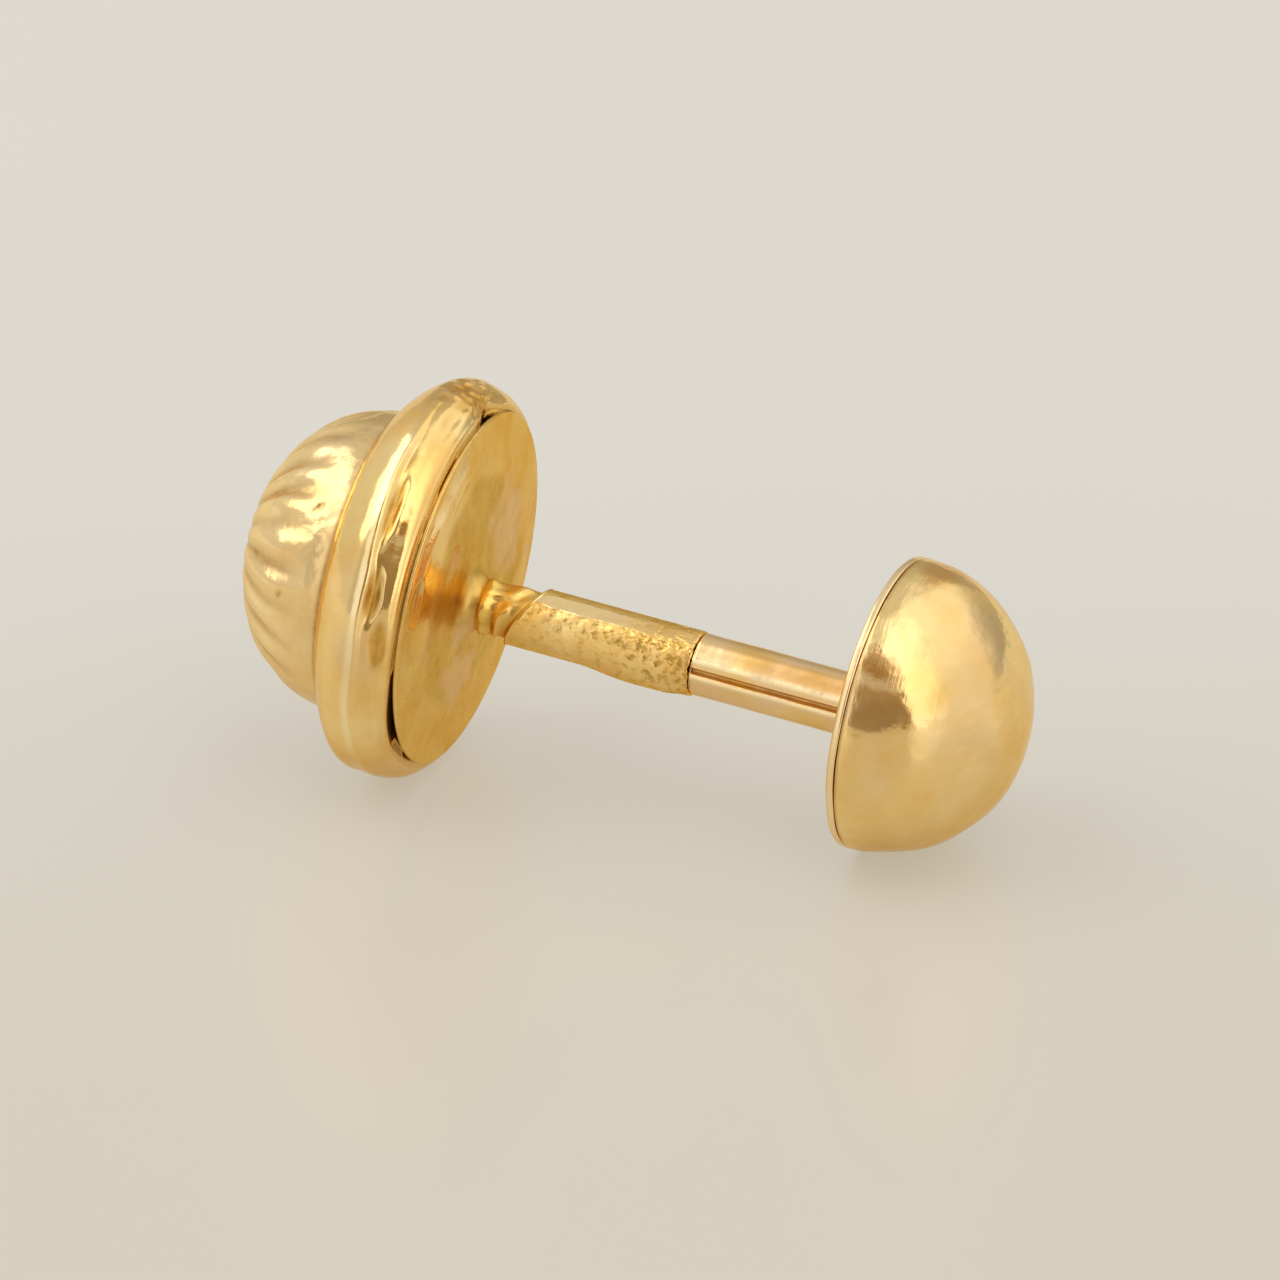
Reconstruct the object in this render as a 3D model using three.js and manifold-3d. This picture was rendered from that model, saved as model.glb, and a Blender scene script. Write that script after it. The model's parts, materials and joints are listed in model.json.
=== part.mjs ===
// A gold ball stud earring lying on its side: a fluted dome in a hollow collar, a back plate with
// its post, and a half-ball nut whose rolled tube takes the post's pin.
// Millimetres, +Z up. The earring stands on z = 0, below the middle of its box, nut towards +X.
import * as THREE from 'three';
import { mergeVertices } from 'three/addons/utils/BufferGeometryUtils.js';
import Module from 'manifold-3d';

const wasm = await Module();
wasm.setup();

// Sheet and fits
const sheetThickness = 0.3;
const seamGap = 0.03;       // where one piece closes on the next
const rimStep = 0.04;       // how far a flat plate stays inside the rim that it closes
const pinClearance = 0.05;  // round the pin, inside the tube

// Fluted dome
const domeRadius = 2.66;
const domeHeight = 2.2;
const domeFullness = 0.94;  // under 1 is fuller than an ellipse
const fluteCount = 22;
const fluteDepth = 0.1;
const fluteStart = 0.1;     // share of the way to the tip that stays smooth, above the collar
const fluteSpread = 0.8;    // under 1 moves the deepest place towards the collar

// Collar
const collarRadius = 3.55;
const collarFront = 0.95;        // from the crease at the dome to the widest ring
const collarBack = 0.65;         // from the widest ring to the seam at the back plate
const collarBackRadius = 3.15;
const collarShoulder = 1.4;      // over 1 is slimmer than an ellipse

// Back plate, solder neck and post
const plateThickness = 0.2;
const plateBevelWidth = 0.6;     // the plate is dished: its face falls away towards the edge
const plateBevelDrop = 0.15;
const solderFlare = 0.34;        // how far the solder spreads round the neck, on the plate
const solderHeight = 0.35;
const neckRadius = 0.46;
const neckLength = 1.0;          // from the plate to the middle of the post's slanted end
const postRadius = 0.55;
const postReach = 4.25;          // from the plate to the shoulder
const postCutLean = 26;          // degrees that the post's first end leans
const postCutTurn = -28;         // degrees from the top to the side it leans away from
const pinRadius = 0.33;
const pinLength = 2.4;

// Nut
const tubeRadius = 0.535;
const tubeLength = 3.29;
const tubeSlit = 0.05;           // width of the seam of the rolled tube
const tubeSlitTurn = 80;         // degrees from the top
const tubeRingStep = 0.085;      // how far the small ring stands out of the tube
const tubeRingWidth = 0.22;
const nutPlateThickness = 0.25;
const nutBallRadius = 2.575;
const nutBallHeight = 2.37;

// Facets
const rimSides = 48;
const flutePoints = 4;           // facets across one flute
const postSides = 24;
const domeRows = 14;
const quarterRows = 6;           // on each quarter of the collar's section
const edgeRows = 3;              // on the plate's round edge and on the solder
const weldDistance = 1e-4;

// Sizes that follow from the others
const lipRadius = domeRadius + seamGap;
const plateRadius = collarBackRadius - rimStep;
const boreRadius = pinRadius + pinClearance;
const nutPlateRadius = nutBallRadius - rimStep;

// Places along the post, from the collar's widest ring
const creaseAt = -collarFront;
const seamAt = collarBack;
const plateFrontAt = seamAt + seamGap;
const plateBackAt = plateFrontAt + plateThickness;
const postStartAt = plateBackAt + neckLength;
const shoulderAt = plateBackAt + postReach;
const tubeMouthAt = shoulderAt + seamGap;
const nutPlateAt = tubeMouthAt + tubeLength;
const nutRimAt = nutPlateAt + nutPlateThickness + seamGap;

// Dents of the collar, hammered by hand. turn: degrees from the top towards the front of the
// lying earring. along: 0 at the crease, 1 at the seam. halfWidth and depth are shares of the
// collar's width and of the sheet.
const collarDents = [
  { turn: 12, along: 0.82, halfTurn: 14, halfWidth: 0.14, depth: 0.2 },
  { turn: 46, along: 0.72, halfTurn: 15, halfWidth: 0.17, depth: 0.4 },
  { turn: 76, along: 0.76, halfTurn: 15, halfWidth: 0.2, depth: 0.4 },
  { turn: 112, along: 0.8, halfTurn: 16, halfWidth: 0.16, depth: 0.2 },
  { turn: 236, along: 0.74, halfTurn: 18, halfWidth: 0.2, depth: 0.3 },
  { turn: 276, along: 0.78, halfTurn: 16, halfWidth: 0.18, depth: 0.36 },
  { turn: 318, along: 0.74, halfTurn: 14, halfWidth: 0.18, depth: 0.3 },
];

const gold = { metalness: 1 };
const polishedGold = new THREE.MeshStandardMaterial({ ...gold, color: 0xdcae62, roughness: 0.28 });
const collarGold = new THREE.MeshStandardMaterial({ ...gold, color: 0xd9a75c, roughness: 0.32 });
const wornGold = new THREE.MeshStandardMaterial({ ...gold, color: 0xc58f55, roughness: 0.42 });

const radians = THREE.MathUtils.degToRad;

// A turned solid from a section of [radius, place along the post]. The section runs up the outside
// and ends on the axis, or comes back down the inside. press gives how deep a point is pushed in.
function turned(section, sides, press = () => 0) {
  const points = section.map(([radius, place]) => new THREE.Vector2(Math.max(radius, 0), place));
  const geometry = new THREE.LatheGeometry(points, sides, Math.PI / sides);
  const position = geometry.attributes.position;
  for (let i = 0; i < position.count; i += 1) {
    const row = i % points.length;
    const angle = Math.atan2(position.getX(i), position.getZ(i));
    const radius = points[row].x - press(row, angle);
    position.setX(i, radius * Math.sin(angle));
    position.setZ(i, radius * Math.cos(angle));
  }
  return geometry;
}

// Points of a section pushed inwards by the sheet, square to the section.
function insideOf(section) {
  return section.map(([radius, place], i) => {
    const [fromRadius, fromPlace] = section[Math.max(i - 1, 0)];
    const [toRadius, toPlace] = section[Math.min(i + 1, section.length - 1)];
    const length = Math.hypot(toRadius - fromRadius, toPlace - fromPlace);
    const inward = (sheetThickness * (toPlace - fromPlace)) / length;
    const onward = (sheetThickness * (toRadius - fromRadius)) / length;
    return [radius - inward, place + onward];
  });
}

// A closed mesh as a solid that can be cut and joined.
function solid(geometry) {
  geometry.deleteAttribute('normal');
  geometry.deleteAttribute('uv');
  const merged = mergeVertices(geometry, weldDistance);
  const corners = merged.index.array;
  const kept = [];
  for (let i = 0; i < corners.length; i += 3) {
    const [a, b, c] = [corners[i], corners[i + 1], corners[i + 2]];
    if (a !== b && b !== c && c !== a) kept.push(a, b, c);
  }
  return new wasm.Manifold(new wasm.Mesh({
    numProp: 3,
    vertProperties: merged.attributes.position.array,
    triVerts: Uint32Array.from(kept),
  }));
}

function geometryOf(shape) {
  const mesh = shape.getMesh();
  const geometry = new THREE.BufferGeometry();
  geometry.setAttribute('position', new THREE.BufferAttribute(mesh.vertProperties, 3));
  geometry.setIndex(new THREE.BufferAttribute(mesh.triVerts, 1));
  return geometry;
}

function namedMesh(name, geometry, material) {
  const mesh = new THREE.Mesh(geometry, material);
  mesh.name = name;
  return mesh;
}

// Half of a ball from its tip to its rim, as [radius, place].
function halfBall(radius, height, rimAt, towards, fullness, rows) {
  return Array.from({ length: rows + 1 }, (unused, i) => {
    const angle = (Math.PI / 2) * (i / rows);
    return [
      radius * Math.sin(angle) ** fullness,
      rimAt + towards * height * Math.cos(angle) ** fullness,
    ];
  });
}

function flutedDome() {
  const outside = halfBall(domeRadius, domeHeight, creaseAt, -1, domeFullness, domeRows);
  const skirt = creaseAt + sheetThickness;
  const hollow = halfBall(
    domeRadius - sheetThickness, domeHeight - sheetThickness, creaseAt, -1, domeFullness, domeRows / 2,
  );
  const section = [...outside, [domeRadius, skirt], [domeRadius - sheetThickness, skirt], ...hollow.reverse()];
  // Flutes start above a smooth band, are deepest half-way and fade towards the tip.
  const press = (row, angle) => {
    if (row === 0 || row >= domeRows) return 0;
    const height = Math.max(0, 1 - row / domeRows - fluteStart) / (1 - fluteStart);
    const fade = Math.sin(Math.PI * height ** fluteSpread);
    return fluteDepth * fade * (0.5 - 0.5 * Math.cos(angle * fluteCount));
  };
  return namedMesh('fluted_dome', turned(section, fluteCount * flutePoints, press), polishedGold);
}

// The outside of the collar from the crease over the widest ring to the seam.
function collarOutside() {
  const front = [];
  const back = [];
  for (let i = 0; i <= quarterRows; i += 1) {
    const angle = (Math.PI / 2) * (i / quarterRows);
    front.push([
      lipRadius + (collarRadius - lipRadius) * Math.sin(angle) ** collarShoulder,
      creaseAt * Math.cos(angle),
    ]);
    back.push([
      collarBackRadius + (collarRadius - collarBackRadius) * Math.cos(angle),
      seamAt * Math.sin(angle),
    ]);
  }
  return [...front, ...back.slice(1)];
}

function rimCollar() {
  const outside = collarOutside();
  const inside = insideOf(outside).filter(([, place]) => place < seamAt);
  inside[0] = [lipRadius, creaseAt + sheetThickness];
  inside.push([collarBackRadius - sheetThickness, seamAt]);
  const section = [...outside, ...inside.reverse(), outside[0]];
  const press = (row, angle) => {
    if (row >= outside.length - 1) return 0;
    const along = (outside[row][1] - creaseAt) / (seamAt - creaseAt);
    return collarDents.reduce((total, dent) => {
      const turn = THREE.MathUtils.euclideanModulo(THREE.MathUtils.radToDeg(angle) - dent.turn + 180, 360) - 180;
      const reach = (turn / dent.halfTurn) ** 2 + ((along - dent.along) / dent.halfWidth) ** 2;
      return total + sheetThickness * dent.depth * Math.max(0, 1 - reach);
    }, 0);
  };
  return namedMesh('rim_collar', turned(section, rimSides, press), collarGold);
}

// A quarter round: [across, along] from [1, 0] to [0, 1], both counted from its centre.
function quarterRound(rows) {
  return Array.from({ length: rows + 1 }, (unused, i) => {
    const angle = (Math.PI / 2) * (i / rows);
    return [Math.cos(angle), Math.sin(angle)];
  });
}

function postPlate() {
  const edge = quarterRound(edgeRows).map(([across, along]) => [
    plateRadius - plateBevelWidth * (1 - across),
    plateBackAt - plateBevelDrop * (1 - along),
  ]);
  const solder = quarterRound(edgeRows).map(([across, along]) => [
    neckRadius + solderFlare * (1 - along),
    plateBackAt + solderHeight * (1 - across),
  ]);
  const neckEndAt = postStartAt + 2 * postRadius;
  const plate = solid(turned([
    [0, plateFrontAt],
    [plateRadius, plateFrontAt],
    ...edge,
    ...solder,
    [neckRadius, neckEndAt],
    [0, neckEndAt],
  ], rimSides));
  const chamfer = pinRadius / 3;
  const post = solid(turned([
    [0, postStartAt - postRadius],
    [postRadius, postStartAt - postRadius],
    [postRadius, shoulderAt],
    [pinRadius, shoulderAt],
    [pinRadius, shoulderAt + pinLength - chamfer],
    [pinRadius - chamfer, shoulderAt + pinLength],
    [0, shoulderAt + pinLength],
  ], postSides));
  // The post's first end is cut off slanting: a leaning block takes away what lies before it.
  const blockSide = 6 * postRadius;
  const block = new THREE.BoxGeometry(blockSide, blockSide, blockSide);
  block.translate(0, -blockSide / 2, 0);
  block.rotateX(radians(postCutLean));
  block.rotateY(radians(postCutTurn));
  block.translate(0, postStartAt, 0);
  return namedMesh('post_plate', geometryOf(plate.add(post.subtract(solid(block)))), wornGold);
}

function nutPlateTube() {
  const boreEndAt = nutPlateAt - sheetThickness / 2;
  const ringAt = nutPlateAt - tubeRingWidth;
  const tubeRingRadius = tubeRadius + tubeRingStep;
  const body = solid(turned([
    [0, boreEndAt],
    [boreRadius, boreEndAt],
    [boreRadius, tubeMouthAt],
    [tubeRadius, tubeMouthAt],
    [tubeRadius, ringAt],
    [tubeRingRadius, ringAt],
    [tubeRingRadius, nutPlateAt],
    [nutPlateRadius, nutPlateAt],
    [nutPlateRadius, nutPlateAt + nutPlateThickness],
    [0, nutPlateAt + nutPlateThickness],
  ], rimSides));
  // The slit runs from the tube's mouth to the small ring, right through the wall.
  const slitLength = ringAt - tubeMouthAt;
  const slit = new THREE.BoxGeometry(tubeSlit, 2 * slitLength, tubeRadius);
  slit.translate(0, tubeMouthAt, (boreRadius + tubeRadius) / 2);
  slit.rotateY(radians(tubeSlitTurn));
  return namedMesh('nut_plate_tube', geometryOf(body.subtract(solid(slit))), polishedGold);
}

function nutHalfBall() {
  const outside = halfBall(nutBallRadius, nutBallHeight, nutRimAt, 1, 1, domeRows);
  const hollow = halfBall(
    nutBallRadius - sheetThickness, nutBallHeight - sheetThickness, nutRimAt, 1, 1, domeRows / 2,
  );
  return namedMesh('nut_half_ball', turned([...hollow, ...outside.reverse()], rimSides), polishedGold);
}

// The angle at which the earring comes to rest, on its collar and on the nut's rim: of all lines
// from a point of the collar to a point of the nut, the one that clears the post by most. Both
// rest on the middle of a facet, a little nearer to the axis than its corners.
function restingTilt() {
  const facetMiddle = Math.cos(Math.PI / rimSides);
  const nutEdge = [
    [nutPlateRadius, nutPlateAt],
    [nutPlateRadius, nutPlateAt + nutPlateThickness],
    ...halfBall(nutBallRadius, nutBallHeight, nutRimAt, 1, 1, domeRows),
  ];
  let clearest = { radius: 0, tilt: 0 };
  for (const [collarPoint, collarPlace] of collarOutside()) {
    for (const [nutPoint, nutPlace] of nutEdge) {
      const share = (shoulderAt - collarPlace) / (nutPlace - collarPlace);
      const radius = collarPoint + share * (nutPoint - collarPoint);
      const tilt = Math.atan2((collarPoint - nutPoint) * facetMiddle, nutPlace - collarPlace);
      if (radius > clearest.radius) clearest = { radius, tilt };
    }
  }
  return clearest.tilt;
}

// The pieces are turned about Y. The stud's own group lays that axis along X, the next one tips
// it down to the nut, and the last one sets the lowest point on z = 0 below the box's middle.
const stud = new THREE.Group();
stud.add(flutedDome(), rimCollar(), postPlate(), nutPlateTube(), nutHalfBall());
stud.rotation.z = -Math.PI / 2;

const lying = new THREE.Group();
lying.add(stud);
lying.rotation.y = restingTilt();

const earring = new THREE.Group();
earring.add(lying);
earring.updateMatrixWorld(true);
const box = new THREE.Box3().setFromObject(earring, true);
lying.position.set(-(box.min.x + box.max.x) / 2, -(box.min.y + box.max.y) / 2, -box.min.z);
earring.updateMatrixWorld(true);

export default earring;
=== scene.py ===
import math
import json

import bpy
import numpy as np
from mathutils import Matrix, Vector, noise


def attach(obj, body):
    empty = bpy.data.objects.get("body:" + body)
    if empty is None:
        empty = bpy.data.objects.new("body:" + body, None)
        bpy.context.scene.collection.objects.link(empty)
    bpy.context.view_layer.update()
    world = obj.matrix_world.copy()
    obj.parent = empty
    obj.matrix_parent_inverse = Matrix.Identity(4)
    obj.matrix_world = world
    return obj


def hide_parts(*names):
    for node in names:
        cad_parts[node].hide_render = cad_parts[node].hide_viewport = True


# The earring lies on its side, its post along X and a little down towards the nut. All sizes below
# are in millimetres, counted along the post from the widest ring of the collar, and all turns are
# in degrees from the top, over the side that faces the camera.
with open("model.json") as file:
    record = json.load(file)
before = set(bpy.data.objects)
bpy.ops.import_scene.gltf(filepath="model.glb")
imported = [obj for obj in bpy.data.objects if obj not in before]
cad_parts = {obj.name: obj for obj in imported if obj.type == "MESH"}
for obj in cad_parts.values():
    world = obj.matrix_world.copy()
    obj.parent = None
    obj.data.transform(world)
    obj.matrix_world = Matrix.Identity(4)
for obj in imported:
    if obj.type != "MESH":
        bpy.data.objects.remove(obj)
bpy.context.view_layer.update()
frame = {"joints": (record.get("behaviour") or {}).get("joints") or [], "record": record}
mm = 0.001

plateBackPlace = 0.88    # the back plate's flat face, where the frame states a mount
along = np.array(Vector(frame["joints"][0]["axis"]).normalized())
upward = np.array([-along[2], 0.0, along[0]])
sideward = np.array([0.0, -1.0, 0.0])
plateMount = next(m for m in frame["record"]["mounts"] if m["name"] == "plate_lobe_face")
mountX, _, mountZ = plateMount["pos_m"]
axisPoint = np.array([mountX, 0.0, mountZ]) - along * plateBackPlace * mm

# the post and the nut's tube stand a little off the middle, towards this turn
postOffset = 0.2
offTurn = math.radians(152)
offWay = math.cos(offTurn) * upward + math.sin(offTurn) * sideward
print("frame loaded, stud's own zero at", [round(v / mm, 3) for v in axisPoint])


# Mesh helpers

def turns(count):
    return np.linspace(0, 2 * math.pi, count, endpoint=False)


def turnedPiece(name, radius, place, turn, body, marks, ring=False, offset=None):
    # radius and place are grids of rows by columns; a row of radius 0 becomes one point; offset is
    # how far each point stands off the axis, towards the side where the post was soldered
    rows, columns = radius.shape
    direction = np.outer(np.cos(turn), upward) + np.outer(np.sin(turn), sideward)
    points = axisPoint + place[..., None] * mm * along + radius[..., None] * mm * direction[None]
    if offset is not None:
        points = points + offset[..., None] * mm * offWay
    number = np.arange(rows * columns).reshape(rows, columns)
    for row in range(rows):
        if np.all(radius[row] < 1e-6):
            number[row] = number[row, 0]
    if ring:
        number = np.vstack([number, number[:1]])
    used, renumbered = np.unique(number, return_inverse=True)
    renumbered = renumbered.reshape(number.shape)
    faces = []
    for low, high in zip(renumbered[:-1], renumbered[1:]):
        lowNext, highNext = np.roll(low, -1), np.roll(high, -1)
        for corners in zip(low.tolist(), lowNext.tolist(), highNext.tolist(), high.tolist()):
            face = list(dict.fromkeys(corners))
            if len(face) > 2:
                faces.append(face)
    mesh = bpy.data.meshes.new(name)
    mesh.from_pydata(points.reshape(-1, 3)[used].tolist(), [], faces)
    mesh.validate()
    for markName, values in marks.items():
        layer = mesh.attributes.new(markName, "FLOAT", "POINT")
        layer.data.foreach_set("value", values.reshape(-1)[used].astype(np.float32))
    mesh.polygons.foreach_set("use_smooth", [True] * len(mesh.polygons))
    piece = bpy.data.objects.new(name, mesh)
    bpy.context.scene.collection.objects.link(piece)
    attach(piece, body)
    print(name, "has", len(mesh.vertices), "points")
    return piece


def unevenness(radius, place, turn, size, seed):
    # smooth hand-made unevenness from -1 to 1 over a grid, in patches about size across
    x = radius * np.cos(turn)
    y = radius * np.sin(turn)
    offset = Vector((seed * 7.3, seed * 3.1, seed * 5.7))
    flat = [
        noise.noise(Vector((a, b, c)) / size + offset)
        for a, b, c in zip(x.ravel().tolist(), y.ravel().tolist(), place.ravel().tolist())
    ]
    return np.array(flat).reshape(radius.shape)


def smoothStep(value):
    value = np.clip(value, 0, 1)
    return value * value * (3 - 2 * value)


def turnFrom(turn, centre):
    # signed distance in degrees from a turn
    return (np.degrees(turn) - centre + 180) % 360 - 180


def turnReach(turn, centre, half):
    # 0 at a turn and 1 at half degrees to either side, growing with the square
    return (turnFrom(turn, centre) / half) ** 2


def gridOf(section, turn):
    # a section's rows of radius and place, spread over all turns; number counts the rows
    section = np.array(section, dtype=float)
    radius = np.repeat(section[:, :1], len(turn), axis=1)
    place = np.repeat(section[:, 1:2], len(turn), axis=1)
    turnGrid = np.repeat(turn[None], len(section), axis=0)
    number = np.arange(len(section))[:, None] + np.zeros_like(radius)
    return radius, place, turnGrid, number


def quarterAngles(count):
    return [math.pi / 2 * i / count for i in range(count + 1)]


def arcRows(start, end, bulge, count):
    # rows of a quarter round from one section point to the other, both included
    (startRadius, startPlace), (endRadius, endPlace) = start, end
    rows = []
    for angle in quarterAngles(count):
        cos, sin = math.cos(angle), math.sin(angle)
        if bulge == "out":
            rows.append((
                endRadius + (startRadius - endRadius) * cos,
                startPlace + (endPlace - startPlace) * sin,
            ))
        else:
            rows.append((
                startRadius + (endRadius - startRadius) * sin,
                endPlace + (startPlace - endPlace) * cos,
            ))
    return rows


def lineRows(start, end, count):
    # rows of a straight stretch, without its last point
    return [
        (start[0] + (end[0] - start[0]) * i / count, start[1] + (end[1] - start[1]) * i / count)
        for i in range(count)
    ]


# Material helpers

def plugIn(tree, value, socket):
    # a socket takes another node's output, a number or a tuple
    if isinstance(value, bpy.types.NodeSocket):
        tree.links.new(value, socket)
    elif socket.type == "RGBA":
        socket.default_value = (*value, 1.0)
    else:
        socket.default_value = value


def addNode(tree, kind, sockets=None, **settings):
    node = tree.nodes.new(kind)
    for key, value in settings.items():
        setattr(node, key, value)
    for key, value in (sockets or {}).items():
        plugIn(tree, value, node.inputs[key])
    return node


def layOut(tree):
    # nodes stand in columns, by how many links they are from the output
    column = {node.name: 0 for node in tree.nodes}
    for _ in tree.nodes:
        for link in tree.links:
            source = link.from_node.name
            column[source] = max(column[source], column[link.to_node.name] + 1)
    filled = {}
    for node in tree.nodes:
        row = filled.get(column[node.name], 0)
        node.location = (-220 * column[node.name], -200 * row)
        filled[column[node.name]] = row + 1


def noiseOf(tree, coordinates, size, detail=4.0, rough=0.55, stretch=(1, 1, 1), rotate=(0, 0, 0)):
    # noise with patches about size millimetres across
    scale = tuple(s / (size * mm) for s in stretch)
    mapping = addNode(tree, "ShaderNodeMapping", {
        "Vector": coordinates, "Scale": scale, "Rotation": rotate,
    })
    pattern = addNode(tree, "ShaderNodeTexNoise", {
        "Vector": mapping.outputs["Vector"], "Scale": 1.0, "Detail": detail, "Roughness": rough,
    })
    return pattern.outputs["Fac"]


def rampOf(tree, value, span, colours):
    node = addNode(tree, "ShaderNodeValToRGB", {"Fac": value})
    ramp = node.color_ramp
    while len(ramp.elements) < len(span):
        ramp.elements.new(0.5)
    for element, position, colour in zip(ramp.elements, span, colours):
        element.position = position
        element.color = (*colour, 1.0)
    return node.outputs["Color"]


def grey(value):
    return (value,) * 3


def mixColours(tree, share, first, second, blend="MIX"):
    # the mix node keeps its share at socket 0 and its two colours at 6 and 7
    sockets = {0: share, 6: first, 7: second}
    return addNode(tree, "ShaderNodeMix", sockets, data_type="RGBA", blend_type=blend).outputs[2]


def combine(tree, operation, first, second):
    maths = addNode(tree, "ShaderNodeMath", {0: first, 1: second}, operation=operation)
    return maths.outputs[0]


def dotWith(tree, direction, axis):
    sockets = {0: direction, 1: axis}
    return addNode(tree, "ShaderNodeVectorMath", sockets, operation="DOT_PRODUCT").outputs["Value"]


def stepOf(tree, value, start, end):
    # 0 at start and 1 at end, smooth between; start may be above end
    ranged = addNode(tree, "ShaderNodeMapRange", {
        "Value": value, "From Min": min(start, end), "From Max": max(start, end),
        "To Min": float(start > end), "To Max": float(start < end),
    }, interpolation_type="SMOOTHSTEP")
    return ranged.outputs["Result"]


goldFinish = {
    "light": (0.95, 0.72, 0.36),
    "deep": (0.89, 0.61, 0.26),
    # grime, with painted shade in creases, hollows and seams
    "groove": (0.36, 0.17, 0.03),
    "tarnish": (0.88, 0.63, 0.42),
    "solder": (0.80, 0.40, 0.10),
    # paler colour of a painted highlight
    "rubbed": (1.0, 0.79, 0.46),
    "edge": (1.0, 0.88, 0.66),
    "patchSize": 1.4,
    "patchSpan": (0.36, 0.62),    # where the noise turns from deep to light
    "mottleSize": 0.25,
    "mottleSpan": (0.3, 0.7),
    # roughness of the clean gold, in smooth and dull clouds, and what each mark adds to it
    "smooth": 0.12,
    "dull": 0.26,
    "hazeSize": 0.5,
    "hazeSpan": (0.35, 0.7),
    "roughened": {"groove": 0.25, "tarnish": 0.14, "rubbed": -0.05},
    # relief in millimetres: ripples first, then shares of it for hammering, grain and scratches
    "relief": 0.035,
    "rippleSize": 0.5,
    "hammered": 0.16,
    "hammeredSize": 0.22,
    "fine": 0.025,
    "fineSize": 0.07,
    "scratch": 0.04,
    "scratchSize": 0.5,
    "strokes": (1.0, 7.0, 7.0),
    "strokeTurn": (0.3, 0.1, 0.7),
}


def goldMaterial(name, **changes):
    # polished and handled gold: patches of deeper gold, duller grime and painted shade in grooves,
    # painted highlights, fine scratches and ripples
    finish = {**goldFinish, **changes}
    material = bpy.data.materials.new(name)
    material.use_nodes = True
    tree = material.node_tree
    shader = tree.nodes["Principled BSDF"]
    shader.inputs["Metallic"].default_value = 1.0
    shader.inputs["Specular Tint"].default_value = (*finish["edge"], 1.0)
    coordinates = addNode(tree, "ShaderNodeTexCoord").outputs["Object"]
    marks = {
        mark: addNode(tree, "ShaderNodeAttribute", attribute_name=mark).outputs["Fac"]
        for mark in ("groove", "tarnish", "solder", "rubbed")
    }

    patches = noiseOf(tree, coordinates, finish["patchSize"], detail=5.0, rough=0.6)
    colour = rampOf(tree, patches, finish["patchSpan"], (finish["deep"], finish["light"]))
    # tarnish and solder are the metal's own colours; the paler one is a painted highlight
    for mark in ("tarnish", "solder", "rubbed"):
        colour = mixColours(tree, marks[mark], colour, finish[mark])
    # the dark colour is mixed in where marked, mottled: grime, and painted shade in creases and
    # hollows
    mottle = noiseOf(tree, coordinates, finish["mottleSize"], detail=6.0, rough=0.7)
    shadeAndGrimeShare = rampOf(tree, mottle, finish["mottleSpan"], (grey(0.5), grey(1.0)))
    shadeAndGrimeShare = combine(tree, "MULTIPLY", marks["groove"], shadeAndGrimeShare)
    colour = mixColours(tree, shadeAndGrimeShare, colour, finish["groove"])
    tree.links.new(colour, shader.inputs["Base Color"])

    haze = noiseOf(tree, coordinates, finish["hazeSize"], detail=6.0, rough=0.65)
    shades = (grey(finish["smooth"]), grey(finish["dull"]))
    roughness = rampOf(tree, haze, finish["hazeSpan"], shades)
    for mark, change in finish["roughened"].items():
        added = combine(tree, "MULTIPLY", marks[mark], change)
        roughness = combine(tree, "ADD", roughness, added)
    tree.links.new(roughness, shader.inputs["Roughness"])

    heights = noiseOf(tree, coordinates, finish["rippleSize"], detail=2.0)
    hammered = noiseOf(tree, coordinates, finish["hammeredSize"], detail=2.0)
    fine = noiseOf(tree, coordinates, finish["fineSize"], detail=3.0, rough=0.6)
    scratches = noiseOf(
        tree, coordinates, finish["scratchSize"], detail=3.0,
        stretch=finish["strokes"], rotate=finish["strokeTurn"],
    )
    for pattern, share in ((hammered, "hammered"), (fine, "fine"), (scratches, "scratch")):
        added = combine(tree, "MULTIPLY", pattern, finish[share])
        heights = combine(tree, "ADD", heights, added)
    bump = addNode(tree, "ShaderNodeBump", {
        "Strength": 1.0, "Distance": finish["relief"] * mm, "Height": heights,
    })
    tree.links.new(bump.outputs["Normal"], shader.inputs["Normal"])
    layOut(tree)
    return material


polishedGold = goldMaterial("polishedGold")
collarGold = goldMaterial(
    "collarGold", light=(0.95, 0.69, 0.29), deep=(0.88, 0.55, 0.17), groove=(0.58, 0.30, 0.03),
    rubbed=(1.0, 0.82, 0.48), smooth=0.07, dull=0.18, rippleSize=0.9, hammered=0.1,
)
wornGold = goldMaterial(
    "wornGold", light=(0.95, 0.66, 0.25), deep=(0.87, 0.51, 0.14), tarnish=(0.98, 0.69, 0.44),
    groove=(0.50, 0.31, 0.04), solder=(0.84, 0.55, 0.12), rubbed=(0.99, 0.76, 0.40),
    edge=(1.0, 0.80, 0.45), patchSize=0.8, smooth=0.13, dull=0.32, fine=0.07,
)
nutGold = goldMaterial(
    "nutGold", light=(0.95, 0.70, 0.31), deep=(0.90, 0.58, 0.20), smooth=0.08, dull=0.19,
    rippleSize=0.8, relief=0.04, scratch=0.06, hammered=0.1, strokes=(9.0, 1.0, 1.0),
)
tubeGold = goldMaterial(
    "tubeGold", light=(0.93, 0.65, 0.28), deep=(0.87, 0.55, 0.19), groove=(0.60, 0.32, 0.05),
    smooth=0.12, dull=0.24, relief=0.012, scratch=0.12, strokes=(0.6, 9.0, 9.0),
    strokeTurn=(0.0, 0.0, 0.0),
)
print("materials made")


# Fluted dome

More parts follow.
